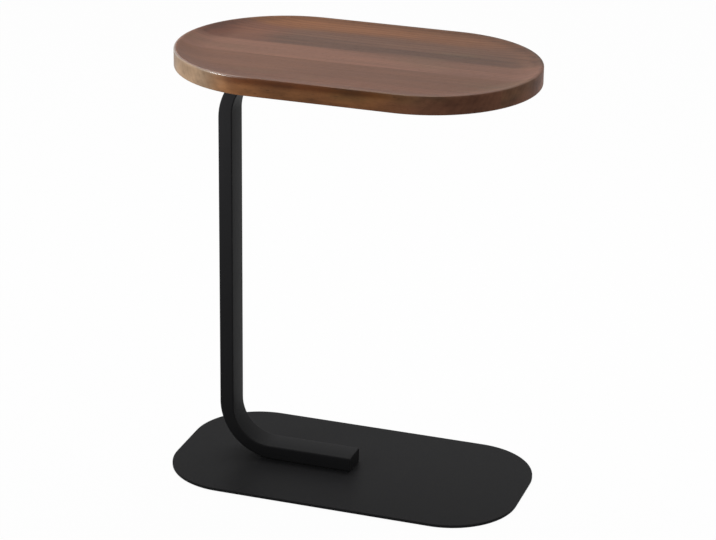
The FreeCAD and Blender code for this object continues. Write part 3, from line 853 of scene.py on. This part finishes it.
def top_screws():
    """Four hexagon-head wood screws, driven from below."""
    low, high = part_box("top_screws")
    places = top_screw_places()
    x, y = places[0]
    head_top = low.z + TOP_SCREW_HEAD
    corner_radius = TOP_SCREW_FLATS / math.sqrt(3)
    piece = start(bpy.ops.mesh.primitive_cylinder_add, "top_hex_screws", vertices=6,
                  radius=corner_radius, depth=TOP_SCREW_HEAD,
                  location=(x, y, low.z + TOP_SCREW_HEAD / 2), rotation=(0, 0, math.radians(30)))
    close(piece)
    # The corners of the hexagon are turned down to a shallow cone on the free side.
    cone = start(bpy.ops.mesh.primitive_cylinder_add, "cone", vertices=48,
                 radius=corner_radius * HEAD_CONE, depth=TOP_SCREW_HEAD * 2, location=(x, y, head_top))
    pick(cone, "FACE", lambda middle, normal: normal.z < -0.9)
    bpy.ops.mesh.bevel(offset=HEAD_TURNED_DOWN, offset_type="WIDTH", segments=1, affect="EDGES")
    carve(piece, close(cone), "INTERSECT")
    soften(piece, HEAD_EDGE, angle=25)

    height = head_top - THREAD_SINK
    shank = start(bpy.ops.mesh.primitive_circle_add, "shank", vertices=24,
                  radius=TOP_SCREW_SHANK / 2, fill_type="NGON", location=(x, y, height))
    pick(shank, "FACE", everything)
    extrude((0, 0, PLAIN_SHANK))
    height += PLAIN_SHANK
    while height < high.z - TIP_LENGTH:
        for growth in (THREAD_WAIST, 1 / THREAD_WAIST):
            extrude((0, 0, THREAD_RISE))
            bpy.ops.transform.resize(value=(growth, growth, 1))
        height += 2 * THREAD_RISE
    extrude((0, 0, high.z - height))
    bpy.ops.transform.resize(value=(TIP_BLUNTNESS, TIP_BLUNTNESS, 1))
    close(shank)
    piece = join([piece, shank], "top_hex_screws")
    coat(piece, BLACK_OXIDE)
    shade(piece)
    copies = [twin(piece, "screw", (other_x - x, other_y - y, 0))
              for other_x, other_y in places[1:]]
    fit(join([piece] + copies, "top_hex_screws"), "blackened_steel", "top_screws")


# ------------------------------------------------------------------ the base

BASE_CORNER = 96 * MM
BASE_EDGE = 0.7 * MM
BASE_SMOOTH_BELOW = 40
BASE_LOOP_INSET = 1 * MM        # holds the flats apart from the broken edges
BASE_HOLE = 8.6 * MM
SCREW_HEAD = 14.5 * MM
SCREW_SHANK = 7.9 * MM
SCREW_EDGE = 0.15 * MM
SCREW_END = 0.8 * MM
SCREW_END_WIDTH = 0.8           # of the shank's width
HEX_KEY = 5 * MM
HEX_SOCKET_DEPTH = 2.5 * MM
SOCKET_CONE = 0.8 * MM
SOCKET_CONE_WIDTH = 0.15        # of the socket's width, at its deepest


def base_screw_places():
    low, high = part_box("base_screws")
    return [(low.x + SCREW_HEAD / 2, 0), (high.x - SCREW_HEAD / 2, 0)]


def start_flat_head(name, place, low, shank):
    """The widest circle of a flat head and the cone that rises from it to the shank's width."""
    radius = SCREW_HEAD / 2
    piece = start(bpy.ops.mesh.primitive_circle_add, name, vertices=48, radius=radius,
                  fill_type="NGON", location=(place[0], place[1], low))
    pick(piece, "FACE", everything)
    cone_height = radius - shank / 2
    extrude((0, 0, cone_height))
    share = shank / 2 / radius
    bpy.ops.transform.resize(value=(share, share, 1))
    return piece, cone_height


def floor_plate():
    """A flat steel plate with generous corners, lightly broken edges and countersinks below."""
    low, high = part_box("base_plate")
    piece = start_block("floor_plate", low, high)
    pick(piece, "EDGE", lambda middle, along: abs(along.z) > 0.9)
    bpy.ops.mesh.bevel(offset=BASE_CORNER, segments=40, affect="EDGES")
    pick(piece, "EDGE", lambda middle, along: abs(along.z) < 0.1)
    bpy.ops.mesh.bevel(offset=BASE_EDGE, segments=4, affect="EDGES")
    for side in (1, -1):
        pick(piece, "FACE", lambda middle, normal: normal.z * side > 0.99)
        bpy.ops.mesh.inset(thickness=BASE_LOOP_INSET, depth=0)
    close(piece, POWDER, BASE_SMOOTH_BELOW)
    for place in base_screw_places():
        cutter, _ = start_flat_head("countersink", place, low.z, BASE_HOLE)
        extrude((0, 0, high.z - low.z))
        pick(cutter, "FACE", lambda middle, normal: normal.z < -0.9)
        extrude((0, 0, -OVERLAP))
        carve(piece, close(cutter))
    shade(piece, BASE_SMOOTH_BELOW)
    fit(piece, "black_powder_coat", "base_plate")


def base_screws():
    """Two countersunk screws with a hexagon socket, flush with the underside."""
    low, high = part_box("base_screws")
    place, other_place = base_screw_places()
    piece, cone_height = start_flat_head("countersunk_screws", place, low.z, SCREW_SHANK)
    extrude((0, 0, high.z - low.z - cone_height - SCREW_END))
    extrude((0, 0, SCREW_END))
    bpy.ops.transform.resize(value=(SCREW_END_WIDTH, SCREW_END_WIDTH, 1))
    close(piece)
    socket = start(bpy.ops.mesh.primitive_cylinder_add, "hex_socket", vertices=6,
                   radius=HEX_KEY / math.sqrt(3), depth=2 * HEX_SOCKET_DEPTH,
                   location=(place[0], place[1], low.z), rotation=(0, 0, math.radians(30)))
    pick(socket, "FACE", lambda middle, normal: normal.z > 0.9)
    extrude((0, 0, SOCKET_CONE))
    bpy.ops.transform.resize(value=(SOCKET_CONE_WIDTH, SOCKET_CONE_WIDTH, 1))
    carve(piece, close(socket))
    coat(piece, BLACK_OXIDE)
    soften(piece, SCREW_EDGE, angle=30)
    shade(piece)
    other = twin(piece, "screw", (other_place[0] - place[0], 0, 0))
    fit(join([piece, other], "countersunk_screws"), "blackened_steel", "base_screws")


# ------------------------------------------------------------------ the pads

PAD_CORNER_CUT = 4 * MM
SOLE_CELLS = 8                  # along each side
SOLE_RIM = 0.5 * MM
SOLE_RIB = 0.3 * MM
SOLE_DEPTH = 0.35 * MM
PAD_NODES = ["pad_front_left", "pad_front_middle", "pad_front_right",
             "pad_back_left", "pad_back_middle", "pad_back_right"]


def rubber_pads():
    """Square pads with cut corners and a waffle sole, one modelled and five copied."""
    low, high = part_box(PAD_NODES[0])
    middle = (low + high) / 2
    width = high.x - low.x
    piece = start(bpy.ops.mesh.primitive_grid_add, "sole_" + PAD_NODES[0], size=width,
                  x_subdivisions=SOLE_CELLS, y_subdivisions=SOLE_CELLS,
                  location=(middle.x, middle.y, low.z))
    pick(piece, "FACE", everything)
    extrude((0, 0, high.z - low.z))
    cut_at = (width - PAD_CORNER_CUT) / math.sqrt(2)
    for side_x, side_y in ((1, 1), (1, -1), (-1, 1), (-1, -1)):
        bpy.ops.mesh.select_all(action="SELECT")
        outwards = Vector((side_x, side_y, 0)).normalized()
        bpy.ops.mesh.bisect(plane_co=middle + outwards * cut_at, plane_no=outwards,
                            use_fill=True, clear_outer=True)
    bpy.ops.mesh.select_all(action="SELECT")
    bpy.ops.mesh.normals_make_consistent(inside=False)
    pick(piece, "FACE", lambda centre, normal: normal.z < -0.9)
    bpy.ops.mesh.inset(thickness=SOLE_RIM, depth=0)
    bpy.ops.mesh.inset(thickness=SOLE_RIB, depth=-SOLE_DEPTH, use_individual=True)
    close(piece, RUBBER)
    for node in PAD_NODES[1:]:
        node_low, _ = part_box(node)
        fit(twin(piece, "sole_" + node, node_low - low), "black_rubber", node)
    fit(piece, "black_rubber", PAD_NODES[0])


# ------------------------------------------------------------------ making the table

dished_top()
bent_tube()
end_cap("arm_cap", "arm_end_plate")
end_cap("foot_cap", "foot_end_plate")
angle_brackets()
weld_beads()
top_screws()
floor_plate()
base_screws()
rubber_pads()
coat(frame["nodes"]["foot_nut_bar"], ZINC)


# ------------------------------------------------------------------ floor, light, camera

FLOOR_WHITE = 0.9
FLOOR_CLOUD = 1.03              # how much lighter its lightest clouds are
CLOUDS_PER_METRE = 2
CLOUD_CONTRAST = 0.4
FLOOR_SHOWS = 0.97              # how far the floor is plain white to the eye
FLOOR_SIZE = 30
FLOOR_SINK = 0.05 * MM          # keeps it clear of the pads
WORLD_LIGHT = 0.4
WHITE = (1, 1, 1, 1)


def grey(level):
    return (level, level, level, 1)


def seen_directly(nodes):
    """1 for what the eye sees, also by way of a reflection or through glass."""
    path = nodes.node("LightPath").outputs
    names = "Is Camera Ray", "Is Glossy Ray", "Is Transmission Ray"
    camera_ray, glossy_ray, transmission_ray = [Value(nodes, path[name]) for name in names]
    return nodes.math("MINIMUM", camera_ray + glossy_ray + transmission_ray, 1.0)


def pale_floor():
    """A matt white floor that keeps the shadow and is clear from below."""
    white = Finish("pale_floor")
    x, y, z = white.place()
    cloud = white.noise(x * CLOUDS_PER_METRE, y * CLOUDS_PER_METRE, z, detail=2)
    tone = white.mix(0.5 + cloud * CLOUD_CONTRAST, grey(FLOOR_WHITE), grey(FLOOR_WHITE * FLOOR_CLOUD))
    matt = white.node("BsdfDiffuse", None, {"Color": tone})
    plain = white.node("Emission", None, {"Color": WHITE, "Strength": 1.0})
    shown = white.node("MixShader", None, {0: seen_directly(white) * FLOOR_SHOWS,
                                           1: matt.outputs[0], 2: plain.outputs[0]})
    clear = white.node("BsdfTransparent")
    from_below = white.node("NewGeometry").outputs["Backfacing"]
    both = white.node("MixShader", None, {0: from_below, 1: shown.outputs[0], 2: clear.outputs[0]})
    white.node("OutputMaterial", None, {"Surface": both.outputs[0]})
    return white.owner


def floor():
    piece = start(bpy.ops.mesh.primitive_grid_add, "floor", x_subdivisions=4, y_subdivisions=4,
                  size=FLOOR_SIZE, location=(0, 0, -FLOOR_SINK))
    bpy.ops.object.mode_set(mode="OBJECT")
    coat(piece, pale_floor())


def world():
    sky = bpy.data.worlds.new("studio")
    bpy.context.scene.world = sky
    light = Nodes(sky)
    strength = WORLD_LIGHT + seen_directly(light) * (1 - WORLD_LIGHT)
    air = light.node("Background", None, {"Color": WHITE, "Strength": strength})
    light.node("OutputWorld", None, {"Surface": air.outputs[0]})


def soft_box(name, place, aim, width, height, watts, spread=180):
    """A rectangular lamp that is aimed at a point, with its beam spread in degrees."""
    lamp = bpy.data.lights.new(name, "AREA")
    lamp.spread = math.radians(spread)
    lamp.shape = "RECTANGLE"
    lamp.size, lamp.size_y = width, height
    lamp.energy = watts
    box = bpy.data.objects.new(name, lamp)
    bpy.context.scene.collection.objects.link(box)
    box.location = place
    box.rotation_euler = (Vector(aim) - Vector(place)).to_track_quat("-Z", "Y").to_euler()


def lights():
    soft_box("overhead", place=(-0.4, 1.0, 2.2), aim=(0, 0, 0.3), width=1.8, height=1.2, watts=24)
    # Its beam is narrow, so that the tube gets darker towards the base.
    soft_box("from_left", place=(-0.98, -0.72, 0.8), aim=(-0.2, -0.05, 0.62),
             width=0.4, height=0.4, watts=1.62, spread=50)


CAMERA_TURN = math.radians(18.349)      # from straight on, towards the open side
CAMERA_TILT = math.radians(21.515)      # down
CAMERA_ROLL = math.radians(0.799)
CAMERA_TARGET = Vector((0.00520, 0, 0.30359))
CAMERA_DISTANCE = 3.4348
SENSOR = 36                             # in millimetres, as Blender has it
FOCAL_PIXELS, PIXELS_ACROSS = 2513.5, 716
LENS = FOCAL_PIXELS / PIXELS_ACROSS * SENSOR


def camera():
    ahead = Vector((-math.sin(CAMERA_TURN) * math.cos(CAMERA_TILT),
                    math.cos(CAMERA_TURN) * math.cos(CAMERA_TILT), -math.sin(CAMERA_TILT)))
    level = Vector((math.cos(CAMERA_TURN), math.sin(CAMERA_TURN), 0))
    upright = level.cross(ahead)
    right = math.cos(CAMERA_ROLL) * level + math.sin(CAMERA_ROLL) * upright
    up = -math.sin(CAMERA_ROLL) * level + math.cos(CAMERA_ROLL) * upright
    lens = bpy.data.cameras.new("camera")
    lens.sensor_fit = "HORIZONTAL"
    lens.sensor_width = SENSOR
    lens.lens = LENS
    lens.clip_start, lens.clip_end = 0.05, 60
    eye = bpy.data.objects.new("camera", lens)
    bpy.context.scene.collection.objects.link(eye)
    turned = Matrix((right, up, -ahead)).transposed().to_4x4()
    eye.matrix_world = Matrix.Translation(CAMERA_TARGET - ahead * CAMERA_DISTANCE) @ turned
    bpy.context.scene.camera = eye


floor()
world()
lights()
camera()
bpy.context.scene.view_settings.view_transform = "Standard"
